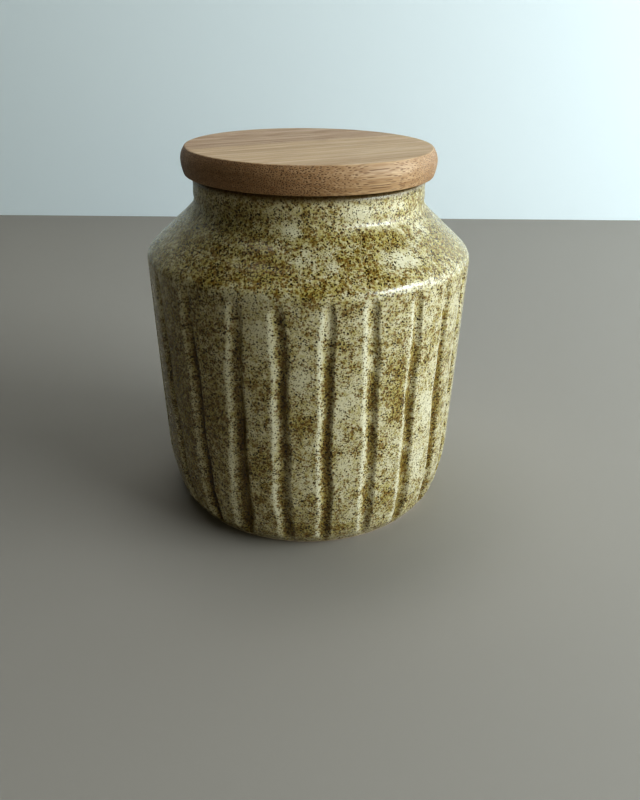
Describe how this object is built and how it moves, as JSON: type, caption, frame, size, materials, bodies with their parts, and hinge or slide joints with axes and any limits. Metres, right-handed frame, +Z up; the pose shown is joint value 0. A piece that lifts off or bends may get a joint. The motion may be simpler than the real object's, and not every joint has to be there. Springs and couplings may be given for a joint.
{
  "type": "storage canister",
  "caption": "Stoneware storage jar with carved upright flutes, a sloping shoulder and a short neck, closed by a round wooden lid whose plug and seal push into the neck.",
  "frame": {"origin": "centre of the foot ring, on the surface that the jar stands on", "axes": "+Z up along the jar's axis, -Y towards the side that the picture shows, +X to the right of that side"},
  "size_m": [0.1442, 0.1442, 0.1635],
  "materials": {
    "glazed_stoneware": "satin speckled glaze, bare clay at the foot",
    "lid_wood": "oiled, with open grain",
    "plug_wood": "oiled, with open grain",
    "silicone": "translucent white, matte"
  },
  "bodies": {
    "jar": {"jar_body": "glazed_stoneware"},
    "lid": {"lid_stave_front": "lid_wood", "lid_stave_back": "lid_wood", "lid_plug": "plug_wood", "lid_seal": "silicone"}
  },
  "joints": [
    {"name": "lid_lift", "type": "slide", "parent": "jar", "child": "lid", "axis": [0, 0, 1], "range_m": [0, 0.12]}
  ]
}
